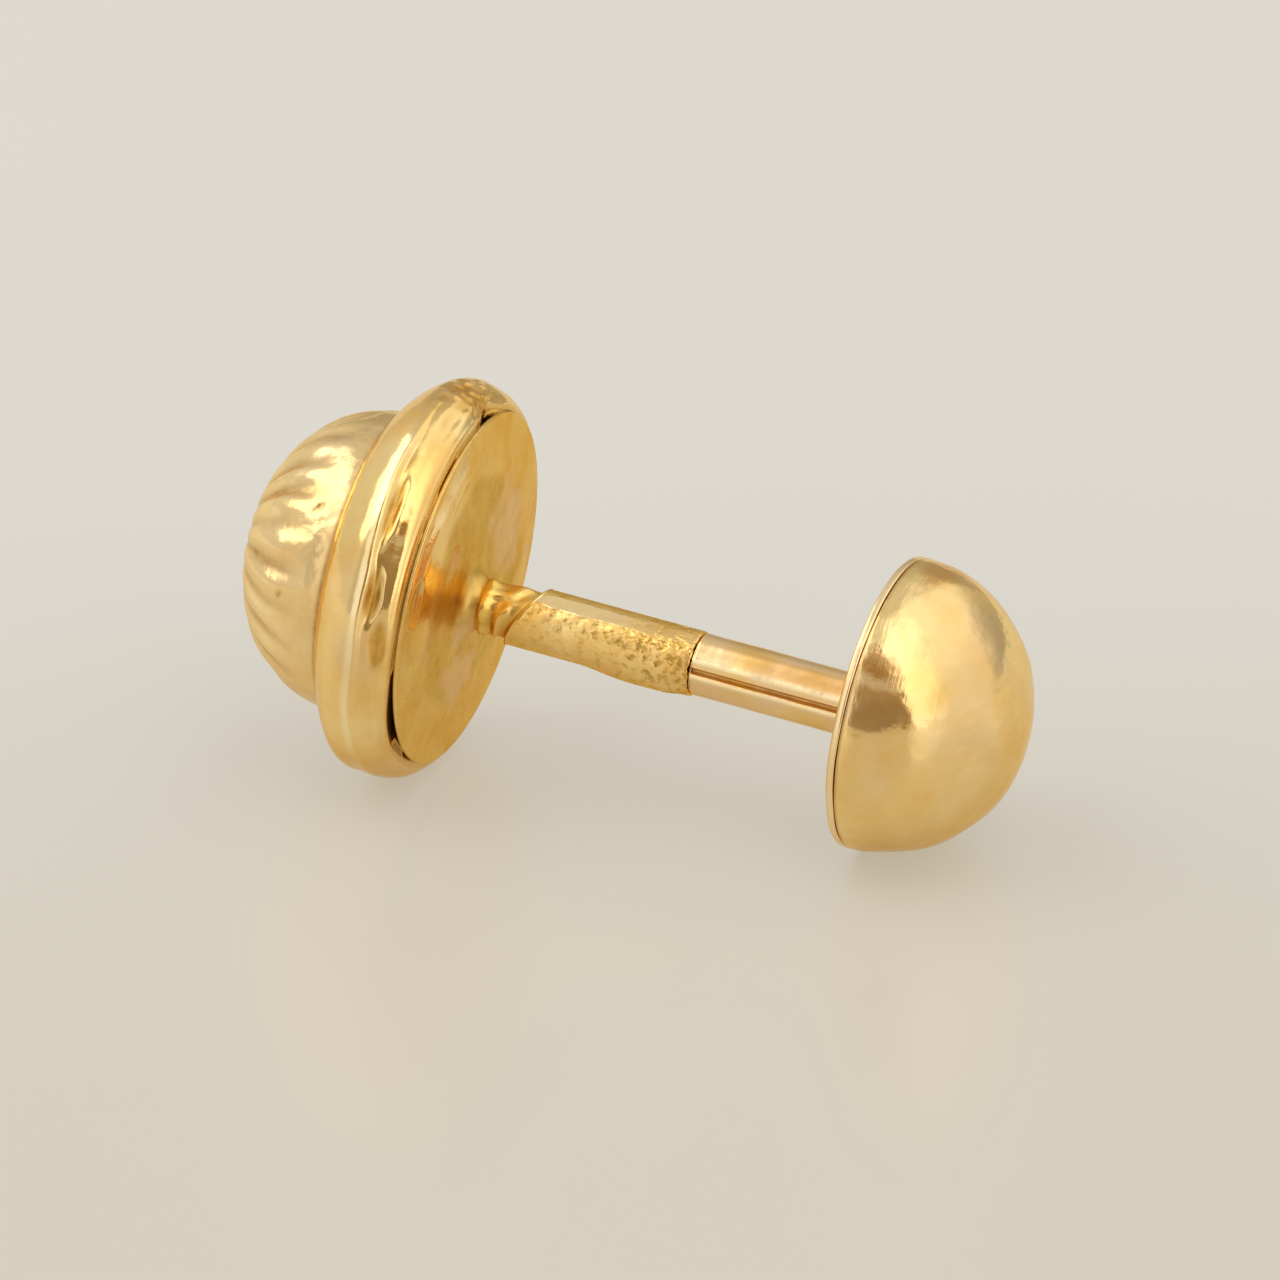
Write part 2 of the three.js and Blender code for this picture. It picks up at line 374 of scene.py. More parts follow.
dome = {
    "radius": 2.66, "height": 2.2, "crease": -0.95, "fullness": 0.94, "sheet": 0.3,
    "columns": 352, "rows": 90, "hollowRows": 12,
    "flutes": 22, "fluteDepth": 0.14, "fluteStart": 0.1, "fluteSpread": 0.8,
    "fluteSharpness": 2.4, "fluteWander": 0.05, "fluteLimits": (0.25, 1.15), "fluteShade": 0.8,
    "handDents": 0.03, "creaseShade": 0.12, "pitShade": 0.6, "tarnish": 0.35,
    # pits, as turn, place, half-width and depth
    "pits": [(46.8, -1.40, 0.07, 0.035), (84.9, -1.78, 0.05, 0.02), (250, -1.7, 0.08, 0.05)],
}


def bellRows(radius, height, count):
    # the dome's section, from its tip to its open edge
    return [
        (
            radius * math.sin(angle) ** dome["fullness"],
            dome["crease"] - height * math.cos(angle) ** dome["fullness"],
        )
        for angle in quarterAngles(count)
    ]


def makeDome():
    turn = turns(dome["columns"])
    skirt = dome["crease"] + dome["sheet"]
    hollowRadius = dome["radius"] - dome["sheet"]
    section = bellRows(dome["radius"], dome["height"], dome["rows"])
    section += [(dome["radius"], skirt), (hollowRadius, skirt)]
    section += bellRows(hollowRadius, dome["height"] - dome["sheet"], dome["hollowRows"])[::-1]
    radius, place, turnGrid, _ = gridOf(section, turn)
    fluted = slice(1, dome["rows"])    # the rows between the tip and the edge

    # flutes, deepest half-way up, each a little different
    height = 1 - np.arange(len(section)) / dome["rows"]
    height = np.clip((height - dome["fluteStart"]) / (1 - dome["fluteStart"]), 0, 1)[:, None]
    wander = dome["fluteWander"] * unevenness(radius, place, turnGrid, size=1.4, seed=1)
    flute = (turnGrid + wander) * dome["flutes"] / 2
    valley = np.abs(np.sin(flute)) ** dome["fluteSharpness"]
    each = 0.75 + 0.5 * unevenness(radius * 0 + 1.6, place * 0.3, turnGrid, size=0.42, seed=2)
    fade = np.sin(math.pi * height ** dome["fluteSpread"])
    press = dome["fluteDepth"] * fade * valley * np.clip(each, *dome["fluteLimits"])
    handDents = unevenness(radius, place, turnGrid, size=0.8, seed=3)
    press += dome["handDents"] * handDents * smoothStep(height * 4)
    groove = np.zeros_like(radius)
    # painted shade in the flutes' valleys
    shade = fade * valley ** 3 * dome["fluteShade"] * np.clip(each, 0, 1)
    groove[fluted] = shade[fluted]

    # pits pressed in and painted darker: partly painted shade in the hollow, partly a dark mark
    for pitTurn, pitPlace, halfWidth, depth in dome["pits"]:
        across = np.radians(turnFrom(turnGrid, pitTurn)) * radius
        ragged = 1 + 0.7 * unevenness(radius, place, turnGrid, size=0.12, seed=8)
        lengthwise = place - pitPlace + 0.4 * across
        away = (across ** 2 * 0.5 + lengthwise ** 2) / (halfWidth * ragged) ** 2
        hole = np.exp(-away ** 2)
        press += depth * hole
        groove = np.maximum(groove, dome["pitShade"] * hole)

    # painted shade: a dark line where the dome goes into the collar
    toCrease = dome["crease"] - place
    groove = np.maximum(groove, smoothStep(1 - toCrease / dome["creaseShade"]))
    moved = radius.copy()
    moved[fluted] -= press[fluted]
    clouds = unevenness(radius, place, turnGrid, size=1.1, seed=4)
    tarnish = dome["tarnish"] * smoothStep(clouds * 2 - 0.3)
    marks = {"groove": groove, "tarnish": tarnish}
    piece = turnedPiece("flutedDome", moved, place, turn, "stud", marks)
    piece.data.materials.append(polishedGold)
    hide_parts("fluted_dome")


makeDome()


# Collar

collar = {
    "radius": 3.55, "front": 0.95, "back": 0.65, "backRadius": 3.15, "lipRadius": 2.69,
    "shoulder": 1.4, "sheet": 0.3, "columns": 480, "rows": 44,
    # where it rests it keeps the solid's shape: turn, half-turn and fade
    "restTurn": 180, "restHalf": 20, "restFade": 25,
    "ridge": 0.07, "ridgeEnd": 0.03, "ridgeWidth": 0.19, "ridgeTurn": 72, "ridgeHalf": 62,
    "ridgeFaint": 0.25, "ridgeWander": 0.05, "ridgeDip": 0.09, "flats": 0.015, "tarnish": 0.3,
    "slopePlace": -0.56, "slopeHalf": 0.4,
    "flattened": 0.05, "flattenedTurn": 20, "flattenedHalf": 78,
    "fuller": 0.12, "fullerTurn": 150, "fullerHalf": 60,
    "crumple": 0.045, "crumpleTurn": -9, "crumpleHalf": 10,
    # shade at the dome, at the seam and inside, as strength and width
    "lipShade": (0.45, 0.08), "seamShade": (0.5, 0.04), "insideShade": 0.8,
    # dents, as turn, place, half-turn, half-widths to the front and to the back, depth and shade
    "dents": [
        (46, 0.13, 14, 0.13, 0.17, 0.07, 1.0), (72, 0.2, 12, 0.15, 0.2, 0.08, 1.0),
        (86, 0.42, 12, 0.2, 0.2, 0.05, 0.9), (12, 0.36, 14, 0.2, 0.2, 0.04, 0.1),
        (-14, 0.3, 9, 0.2, 0.2, 0.05, 0.3), (112, 0.33, 16, 0.24, 0.24, 0.04, 0.1),
        (236, 0.23, 18, 0.3, 0.3, 0.08, 0.2), (276, 0.3, 16, 0.28, 0.28, 0.09, 0.2),
        (318, 0.23, 14, 0.28, 0.28, 0.08, 0.2),
    ],
    "dentStrength": 1.3,
    # the seam's gapes, as turn, half-turn and share of the depth
    "gapes": [(-13, 9, 1.6), (134, 28, 1)],
    "gapeDepth": 0.12,
}


def collarSection():
    # outside from the lip over the widest ring to the seam, then back along the hollow inside
    front, back = [], []
    step = collar["radius"] - collar["lipRadius"]
    backStep = collar["radius"] - collar["backRadius"]
    for angle in quarterAngles(collar["rows"]):
        cos, sin = math.cos(angle), math.sin(angle)
        front.append((
            collar["lipRadius"] + step * sin ** collar["shoulder"], -collar["front"] * cos,
        ))
        back.append((collar["backRadius"] + backStep * cos, collar["back"] * sin))
    outside = front + back[1:]
    inside = [
        (collar["backRadius"] - collar["sheet"], collar["back"]),
        (collar["radius"] - collar["sheet"] - 0.05, collar["back"] * 0.6),
        (collar["radius"] - collar["sheet"], 0.0),
        (collar["radius"] - 2 * collar["sheet"], -collar["front"] * 0.45),
        (collar["lipRadius"] + 0.05, -collar["front"] + collar["sheet"]),
        (collar["lipRadius"], -collar["front"] + collar["sheet"] - 0.02),
    ]
    return outside, inside


def makeCollar():
    turn = turns(collar["columns"])
    outside, inside = collarSection()
    section = outside + inside
    radius, place, turnGrid, _ = gridOf(section, turn)
    outer = np.arange(len(section)) < len(outside) - 1
    fromRest = np.abs(turnFrom(turnGrid, collar["restTurn"]))
    free = smoothStep((fromRest - collar["restHalf"]) / collar["restFade"])

    # a low ridge runs round the widest ring, clearest on the side that faces the camera
    fromTop = turnFrom(turnGrid, 0)
    wander = unevenness(radius * 0 + 3, place * 0, turnGrid, size=0.8, seed=5)
    dip = smoothStep((64 - fromTop) / 30) * smoothStep((fromTop + 30) / 30)
    ridgeEnd = collar["ridgeEnd"] + collar["ridgeWander"] * wander - collar["ridgeDip"] * dip
    fromRidge = np.abs(turnFrom(turnGrid, collar["ridgeTurn"]))
    clearest = smoothStep((collar["ridgeHalf"] - fromRidge) / 25)
    ridgeShare = collar["ridgeFaint"] + (1 - collar["ridgeFaint"]) * clearest
    behind = smoothStep((place - ridgeEnd) / 0.12) * smoothStep((0.62 - place) / 0.3)
    press = collar["ridge"] * behind * ridgeShare * free

    groove = np.zeros_like(radius)
    wavy = 1 + 0.25 * unevenness(radius, place, turnGrid, size=0.4, seed=9)
    # dents pressed in and painted darker: partly painted shade and dark reflection in the hollows,
    # partly grime
    for dentTurn, dentPlace, halfTurn, frontWidth, backWidth, depth, shade in collar["dents"]:
        widths = np.where(place < dentPlace, frontWidth, backWidth)
        reach = turnReach(turnGrid, dentTurn, halfTurn) + ((place - dentPlace) / widths) ** 2
        hollow = smoothStep(1 - np.sqrt(reach) * wavy)
        press += depth * hollow * collar["dentStrength"]
        groove = np.maximum(groove, shade * smoothStep(1.8 * hollow))

    # the front slope is a little flatter on the near side and fuller underneath
    flattened = 1 - turnReach(turnGrid, collar["flattenedTurn"], collar["flattenedHalf"])
    fuller = 1 - turnReach(turnGrid, collar["fullerTurn"], collar["fullerHalf"])
    flattened = collar["flattened"] * np.clip(flattened, 0, 1)
    fuller = collar["fuller"] * np.clip(fuller, 0, 1)
    across = (place - collar["slopePlace"]) / collar["slopeHalf"]
    press += (flattened - fuller) * np.clip(1 - across ** 2, 0, 1) ** 2

    # crumpled at the top, where the seam gapes; creases darker: partly painted shade, partly stain
    crumple = np.exp(-turnReach(turnGrid, collar["crumpleTurn"], collar["crumpleHalf"]))
    crumple = crumple * smoothStep((place + 0.3) / 0.25)
    creased = 1.6 * unevenness(radius, place, turnGrid, size=0.2, seed=10)
    press += collar["crumple"] * crumple * (1 + creased)
    groove = np.maximum(groove, np.clip(crumple * (0.6 + creased), 0, 0.9))
    press += collar["flats"] * (1 + unevenness(radius, place, turnGrid, size=1.1, seed=6)) * free

    # painted shade where the collar meets the dome, at the seam, and over the whole inside
    lipAway, seamAway = place + collar["front"], collar["back"] - place
    for away, (strength, width) in ((lipAway, collar["lipShade"]), (seamAway, collar["seamShade"])):
        groove = np.maximum(groove, strength * smoothStep(1 - away / width))
    groove[~outer] = collar["insideShade"]
    radius[outer] -= press[outer]
    place = np.where(place > 0.6, place + 0.018, place)
    gape = sum(
        share * np.exp(-turnReach(turnGrid, gapeTurn, halfTurn))
        for gapeTurn, halfTurn, share in collar["gapes"]
    )
    place = place - collar["gapeDepth"] * gape * smoothStep((place - 0.35) / 0.3)

    clouds = unevenness(radius, place, turnGrid, size=1.3, seed=7)
    tarnish = collar["tarnish"] * smoothStep(clouds * 2 - 0.2)
    # painted highlight: paler gold along the ridge, stronger in places along it
    onRidge = smoothStep((place - ridgeEnd + collar["ridgeWidth"]) / 0.1)
    onRidge = onRidge * smoothStep((ridgeEnd + 0.02 - place) / 0.05)
    worn = 0.55 + 0.3 * smoothStep(turnFrom(turnGrid, 60) / 25)
    worn = worn + 0.5 * unevenness(radius, place, turnGrid, size=0.5, seed=25)
    rubbed = np.where(outer[:, None], onRidge * ridgeShare * np.clip(worn, 0, 1), 0.0)
    marks = {"groove": groove, "tarnish": tarnish, "solder": 0.5 * crumple, "rubbed": rubbed}
    piece = turnedPiece(
        "rimCollar", radius, place, turn, "stud", marks, ring=True,
    )
    piece.data.materials.append(collarGold)
    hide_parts("rim_collar")


makeCollar()


# Back plate, solder, post and pin: soldered metal in one piece

plate = {
    "frontPlace": 0.675, "radius": 3.13, "rounding": 0.03, "bevelWidth": 0.85, "bevelDrop": 0.15,
    "steepTurn": 52, "steepHalf": 50, "steepSlope": 0.65, "bent": 0.06,
    "solderFlare": 0.3, "solderHeight": 0.3, "neckRadius": 0.46, "neckLength": 1.0,
    "columns": 288,
    # lumps of solder round the neck, as height over the plate and size
    "lumps": [(0.36, 0.05), (0.76, 0.03)],
    "lumpHalf": 0.12, "neckUneven": 0.07, "solderOnFace": 0.12,
    # shades of the face: everywhere, inside the bevel, and what patches of each kind add
    "faceShade": 0.22, "dullShade": 0.27, "ochreShade": 0.28, "goldShade": 0.34, "dentShade": 10,
    # pinkish patches of the face, as turn, radius, half-turn and half-size outward
    "pinkPatches": [(-60, 1.6, 42, 0.8), (168, 1.5, 40, 0.7)],
    "pinkStrength": 0.8,
    # a deep yellow patch, and a painted highlight as a bright streak on the bevel, in the same way
    "ochrePatch": (-8, 2.35, 26, 0.5), "streak": (44, 2.55, 26, 0.45),
    # dents in the face, as turn, radius, half-sizes across and outward, and depth
    "dents": [
        (49, 1.53, 0.42, 0.2, 0.05), (72, 2.85, 0.5, 0.16, 0.06),
        (20, 2.2, 0.7, 0.3, 0.02), (118, 1.9, 0.5, 0.35, 0.02),
    ],
}
post = {
    "radius": 0.57, "reach": 4.25, "cutLean": 26, "cutTurn": -28,
    "pinRadius": 0.33, "pinLength": 2.4,
    "flatTurn": 21, "flatHalf": 15, "flatDepth": 0.02, "flatEnd": 4.1,
    "darkTurn": -30, "darkHalf": 22, "swell": 0.08, "swellTurn": 150, "swellHalf": 60,
    "pitDepth": 0.035, "roughDepth": 0.006, "worn": 0.008, "raggedDepth": 0.04,
    "pitShade": 1.5, "flatLineShade": 0.3, "darkShade": 0.6, "rubbed": 0.7, "solder": 0.25,
}


def patchReach(turnGrid, radius, patchTurn, patchRadius, halfTurn, halfOut):
    # 0 in the middle of a patch of the face and 1 at its edge
    return turnReach(turnGrid, patchTurn, halfTurn) + ((radius - patchRadius) / halfOut) ** 2


def makePlateAndPost():
    turn = turns(plate["columns"])
    backPlace = plateBackPlace
    edge, neck, front = plate["radius"], plate["neckRadius"], plate["frontPlace"]
    edgePlace = backPlace - plate["bevelDrop"]
    faceRadius = plate["radius"] - plate["bevelWidth"]
    solderRadius = plate["neckRadius"] + plate["solderFlare"]
    solderTop = backPlace + plate["solderHeight"]
    postStart = backPlace + plate["neckLength"]
    shoulder = backPlace + post["reach"]
    rounding = plate["rounding"]
    rows = lineRows((0.0, front), (edge - rounding, front), 5)
    rows += arcRows((edge - rounding, front), (edge, front + 0.02), "in", 3)
    rimRows = len(rows)
    rows += arcRows((edge, edgePlace), (edge - 2 * rounding, edgePlace + rounding), "out", 5)
    bevelStart = (edge - 0.09, edgePlace + 0.036)
    rows += lineRows(bevelStart, (faceRadius, backPlace), 20)
    rows += lineRows((faceRadius, backPlace), (solderRadius, backPlace), 36)[1:]
    rows += arcRows((solderRadius, backPlace), (neck, solderTop), "in", 12)
    neckRows = len(rows)
    rows += lineRows((neck, solderTop + rounding), (neck, postStart - rounding), 18)
    # the post's slanting end is a rounded step out to its full radius
    rows += arcRows((neck, postStart), (post["radius"], postStart + 0.08), "out", 8)
    postRows = len(rows)
    postEnd = (post["radius"], shoulder - rounding)
    rows += lineRows((post["radius"], postStart + 0.1), postEnd, 96)
    rows += arcRows(postEnd, (post["radius"] - rounding, shoulder), "out", 3)
    endRows = len(rows)
    pinEnd = shoulder + post["pinLength"]
    rows += [(post["pinRadius"], shoulder), (post["pinRadius"], pinEnd - 0.1)]
    rows += [(post["pinRadius"] - 0.1, pinEnd), (0.0, pinEnd)]
    radius, place, turnGrid, number = gridOf(rows, turn)
    onFace = (number >= rimRows) & (number < neckRows)
    onNeck = (number >= neckRows) & (number < postRows)
    onPost = (number >= postRows) & (number < endRows)

    # the post's slanting end: rows near it are shifted with the turn, less and less along it
    lean = math.tan(math.radians(post["cutLean"]))
    slant = lean * post["radius"] * np.cos(turnGrid - math.radians(post["cutTurn"]))
    fadeOut = np.where(onPost, 1 - smoothStep((place - postStart) / 1.2), 0.0)
    fadeIn = np.where(onNeck, smoothStep((place - postStart + 0.6) / 0.6), 0.0)

    # solder in two lumps round the neck
    height = place - backPlace
    lumps = sum(
        size * np.exp(-((height - lumpHeight) / plate["lumpHalf"]) ** 2)
        for lumpHeight, size in plate["lumps"]
    )
    uneven = unevenness(radius, place, turnGrid, size=0.25, seed=16)
    belowPost = smoothStep((0.95 - height) / 0.15)
    lumpy = radius + lumps + plate["neckUneven"] * uneven * belowPost
    radius = np.where(onNeck, lumpy, radius)
    # painted shade in the neck's creases, away from the lumps of solder
    neckShade = np.clip(0.3 - 7 * lumps - 0.8 * uneven, 0, 0.9)
    place = place + slant * (fadeOut + fadeIn)

    # worn strip along the top of the post, with a dark line beside it
    # the strip's paler colour is a painted highlight, the dark line painted shade
    fromFlat = turnFrom(turnGrid, post["flatTurn"])
    flatEdge = post["flatHalf"] + 9 * unevenness(radius * 0, place, turnGrid, size=0.3, seed=11)
    inFlat = smoothStep((flatEdge - np.abs(fromFlat)) / 5)
    inFlat = inFlat * (1 - 0.7 * smoothStep((place - post["flatEnd"] + 0.6) / 0.8))
    flatDrop = np.clip(np.cos(np.radians(fromFlat * 90 / post["flatHalf"])), 0, 1)
    flatLine = np.exp(-((flatEdge - fromFlat) / 3) ** 2)
    darkLine = smoothStep(1.4 - turnReach(turnGrid, post["darkTurn"], post["darkHalf"]))
    darkLine = darkLine * (1 - 0.6 * smoothStep((place - 3) / 1.5))

    # the rest is rough and pitted, most so near the joint, where it swells underneath
    nearJoint = smoothStep((place - shoulder + 2.2) / 2.2)
    rough = unevenness(radius, place, turnGrid, size=0.12, seed=12)
    rough = rough + 0.8 * unevenness(radius, place, turnGrid, size=0.055, seed=13)
    pitted = np.clip(-rough - 0.1, 0, 1)
    swell = post["swell"] * np.exp(-turnReach(turnGrid, post["swellTurn"], post["swellHalf"]))
    swell = swell * smoothStep((place - 3.0) / 1.0)
    swell = swell * (1 - 0.7 * smoothStep((place - shoulder + 0.55) / 0.5))
    roughRadius = radius + swell - post["worn"]
    roughRadius = roughRadius - post["roughDepth"] * rough * (0.5 + 0.5 * nearJoint)
    roughRadius = roughRadius - post["pitDepth"] * pitted * (0.4 + 0.8 * nearJoint)
    flatRadius = radius - post["flatDepth"] * flatDrop
    radius = np.where(onPost, flatRadius * inFlat + roughRadius * (1 - inFlat), radius)
    # ragged edge at the joint with the tube
    ragged = np.minimum(unevenness(radius, place * 0, turnGrid, size=0.12, seed=14) - 0.1, 0)
    ragged = post["raggedDepth"] * ragged * smoothStep((place - shoulder + 0.2) / 0.2)
    place = np.where(onPost, place + ragged, place)

    # steeper edge on the upper near side
    fromSteep = np.abs(turnFrom(turnGrid, plate["steepTurn"]))
    steep = smoothStep((plate["steepHalf"] - fromSteep) / 22)
    steepPlace = bevelStart[1] + (bevelStart[0] - radius) * plate["steepSlope"]
    steepPlace = np.minimum(backPlace, steepPlace)
    place = np.where(onFace, place + steep * np.maximum(steepPlace - place, 0), place)

    # uneven and dented sheet of the plate
    groove = np.zeros_like(radius)
    fromEdge = smoothStep((plate["radius"] - radius) / 0.5)
    bent = unevenness(radius, place * 0, turnGrid, size=1.0, seed=15) - 0.4
    bent = plate["bent"] * fromEdge * bent
    # dents pressed in and painted darker: partly painted shade, partly brown stain
    for dentTurn, dentRadius, halfAcross, halfOut, depth in plate["dents"]:
        across = np.radians(turnFrom(turnGrid, dentTurn)) * radius
        reach = (across / halfAcross) ** 2 + ((radius - dentRadius) / halfOut) ** 2
        hollow = smoothStep(1.3 * (1 - reach))
        bent -= depth * hollow
        groove = np.maximum(groove, np.where(onFace, plate["dentShade"] * depth * hollow, 0))
    place = np.where(onFace, place + bent, place)

    # shade of the post and the neck, and the solder's redder gold
    # the pits are dirt and painted shade, the lines and the neck's creases painted shade
    pits = np.clip(post["pitShade"] * pitted * (0.4 + nearJoint), 0, 0.75) * (1 - inFlat)
    lines = np.maximum(post["flatLineShade"] * flatLine, post["darkShade"] * darkLine)
    groove = np.where(onPost, np.maximum(pits + 0.05 * (1 - inFlat), lines), groove)
    groove = np.where(onNeck, neckShade, groove)
    # painted shade on the plate's front face, inside the collar
    groove = np.maximum(groove, np.where(number < rimRows, 0.8, 0.0))
    spread = 1.15 + 0.5 * unevenness(radius, place * 0, turnGrid, size=0.5, seed=18)
    solder = np.where(onFace, plate["solderOnFace"] * smoothStep((spread - radius) / 0.7), 0.0)
    solder = np.where(onNeck, 0.75 - 0.5 * smoothStep((height - 0.4) / 0.3), solder)
    postSolder = post["solder"] * (1 - smoothStep((place - postStart) / 0.7))
    solder = np.where(onPost, postSolder, solder)

    # the face is dull and patchy inside a clean bevel: pinkish patches, a deep yellow one high up
    dullEdge = plate["radius"] - plate["bevelWidth"]
    dullEdge = dullEdge + 0.25 * unevenness(radius, place * 0, turnGrid, size=0.5, seed=19)
    dull = np.where(onFace, smoothStep((dullEdge + 0.2 - radius) / 0.6), 0.0)
    patches = unevenness(radius, place * 0, turnGrid, size=0.8, seed=17)
    frayed = 0.6 * unevenness(radius, place * 0, turnGrid, size=0.4, seed=20)
    for patch in plate["pinkPatches"]:
        patches = np.maximum(patches, 0.9 - patchReach(turnGrid, radius, *patch) + frayed)
    patches = plate["pinkStrength"] * smoothStep(patches * 1.1 + 0.1)
    ochre = smoothStep(1.3 - patchReach(turnGrid, radius, *plate["ochrePatch"]))
    tarnish = dull * patches * (1 - ochre)
    faceShade = plate["dullShade"] + plate["ochreShade"] * ochre
    faceShade = faceShade + plate["goldShade"] * (1 - patches)
    groove = np.maximum(groove, dull * faceShade)
    # painted highlight: a bright streak on the bevel, kept out of the face's darker shade
    streakTurn, streakRadius, streakHalf, streakWidth = plate["streak"]
    streak = streakRadius + 0.15 * unevenness(radius, place * 0, turnGrid, size=0.4, seed=24)
    onBevel = onFace * np.exp(-((radius - streak) / streakWidth) ** 4)
    onBevel = onBevel * smoothStep(1.4 - turnReach(turnGrid, streakTurn, streakHalf))
    rubbed = np.where(onPost, post["rubbed"] * inFlat, onBevel)
    groove = np.maximum(groove, plate["faceShade"] * onFace * (1 - rubbed))
    marks = {"groove": groove, "tarnish": tarnish, "solder": solder, "rubbed": rubbed}
    nearNeck = onFace * smoothStep((1.8 - radius) / 1.1)
    offset = postOffset * np.where(number < neckRows, nearNeck, 1.0)
    piece = turnedPiece(
        "platePost", radius, place, turn, "stud", marks, offset=offset,
    )
    piece.data.materials.append(wornGold)
    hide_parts("post_plate")


makePlateAndPost()


# Nut: disc with the rolled tube, and the half-ball

tube = {
    "radius": 0.555, "bore": 0.38, "mouth": 5.145, "length": 3.305, "columns": 288,
    "slit": 0.05, "slitTurn": 80, "slitDepth": 0.1, "ringStep": 0.085, "ringWidth": 0.22,
    # beads beside the slit, as degrees from it and half-width
    "beads": [(-20, 8), (13, 7)],
    "beadHeight": 0.03, "wave": 0.008, "discWave": 0.012,
    "brownTurn": 33, "brownHalf": 18, "brownShade": 0.85, "slitShade": 0.85, "ringShade": 0.7,
    "cornerShade": 0.6, "rubbed": 0.8, "tarnish": 0.5,
}
nut = {
    "plateThickness": 0.14, "gap": 0.008, "radius": 2.575, "height": 2.495, "sheet": 0.3,
    "columns": 320, "rows": 90, "hollowRows": 12,
    "flats": 0.05, "smallFlats": 0.016, "tarnish": 0.25, "rimShade": 0.15, "insideShade": 0.6,
    # redder spot at the top of the rim, as turn, half-turn, distance from the rim and half-size
    "redSpot": (-14, 20, 0.5, 0.35), "redStrength": 0.6,
}


def makeNutTube():
    # columns stand closer together at the slit
    base = turns(tube["columns"])
    slit = math.radians(tube["slitTurn"])
    turn = np.sort(np.mod(base - 0.85 * np.sin(base - slit), 2 * math.pi))
    bore, outer, mouth = tube["bore"], tube["radius"], tube["mouth"]
    discPlace = tube["mouth"] + tube["length"]
    backPlace = discPlace + nut["plateThickness"]
    rim = nut["radius"]
    ringPlace = discPlace - tube["ringWidth"]
    ringRadius = tube["radius"] + tube["ringStep"]
    rows = [(0.0, discPlace - 0.15), (bore, discPlace - 0.15), (bore, mouth + 0.02)]
    rows += arcRows((bore + 0.02, mouth), (outer - 0.03, mouth), "in", 2)
    tubeRows = len(rows) + 1
    rows += arcRows((outer - 0.025, mouth), (outer, mouth + 0.03), "in", 3)
    rows += lineRows((outer, mouth + 0.05), (outer, ringPlace - 0.02), 50)
    ringRows = len(rows) + 4
    rows += arcRows((outer, ringPlace), (ringRadius, ringPlace + 0.07), "in", 5)
    rows += lineRows((ringRadius, ringPlace + 0.09), (ringRadius, discPlace - 0.03), 3)
    cornerRows = len(rows)
    rows += arcRows((ringRadius, discPlace - 0.03), (ringRadius + 0.05, discPlace), "in", 3)
    discRows = len(rows)
    rows += lineRows((ringRadius + 0.08, discPlace), (rim - 0.06, discPlace), 14)
    rows += arcRows((rim - 0.05, discPlace), (rim, discPlace + 0.05), "in", 5)
    rimRows = len(rows) - 1
    rows += lineRows((rim, discPlace + 0.07), (rim, backPlace - 0.03), 4)
    rows += arcRows((rim, backPlace - 0.03), (rim - 0.03, backPlace), "out", 3)
    backRows = len(rows)
    rows += [(rim * 0.5, backPlace), (0.0, backPlace)]
    radius, place, turnGrid, number = gridOf(rows, turn)
    onTube = (number >= tubeRows) & (number < ringRows)
    onDisc = (number >= discRows) & (number < backRows)

    # the sheet's two turned edges stand up as narrow beads on both sides of the slit
    fromSlit = turnFrom(turnGrid, tube["slitTurn"])
    slitAway = np.abs(np.radians(fromSlit)) * tube["radius"]
    slitShare = tube["slitShade"] * np.exp(-(slitAway / tube["slit"]) ** 4)
    beads = sum(np.exp(-((fromSlit - away) / half) ** 2) for away, half in tube["beads"])
    beads = np.clip(beads, 0, 1)
    besideBeads = smoothStep((62 - np.abs(fromSlit)) / 25) * (1 - beads)
    wave = unevenness(radius, place, turnGrid, size=0.7, seed=21)
    lowered = tube["slitDepth"] * slitShare + tube["beadHeight"] * besideBeads
    radius = np.where(onTube, radius - lowered - tube["wave"] + tube["wave"] * wave, radius)
    discWave = tube["discWave"] * unevenness(radius, place, turnGrid, size=0.8, seed=22)
    place = np.where(onDisc, place + discWave, place)

    # a darker brown strip above the slit, strongest near the disc
    brownStrip = smoothStep(1.6 - turnReach(turnGrid, tube["brownTurn"], tube["brownHalf"]))
    brownStrip = brownStrip * smoothStep((place - tube["mouth"] - 0.2) / 1.6)
    brownStrip = brownStrip * np.clip(0.85 + 0.5 * wave, 0, 1)
    groove = np.where(onTube, np.maximum(slitShare, tube["brownShade"] * brownStrip), 0.0)
    # painted shade at the ring's step, in the corner by the disc and on the disc's back
    atRing = np.exp(-((place - ringPlace) / 0.05) ** 2) * onTube
    groove = np.maximum(groove, tube["ringShade"] * atRing)
    inCorner = (number >= cornerRows) & (number <= discRows)
    groove = np.maximum(groove, tube["cornerShade"] * (inCorner | (number >= backRows - 1)))
    clouds = unevenness(radius, place, turnGrid, size=0.8, seed=23)
    tarnish = tube["tarnish"] * smoothStep(clouds * 2 + 0.3)
    # painted highlight on the beads beside the slit and on the disc's rim
    onRim = (number >= rimRows) & (number < backRows - 1)
    rubbed = tube["rubbed"] * np.where(onTube, beads, onRim)
    marks = {"groove": groove, "tarnish": tarnish, "rubbed": rubbed}
    nearTube = onDisc * smoothStep((1.8 - radius) / 1.1)
    offset = postOffset * np.where(number < discRows, 1.0, nearTube)
    piece = turnedPiece(
        "nutDiscTube", radius, place, turn, "nut", marks, offset=offset,
    )
    piece.data.materials.append(tubeGold)
    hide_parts("nut_plate_tube")


makeNutTube()


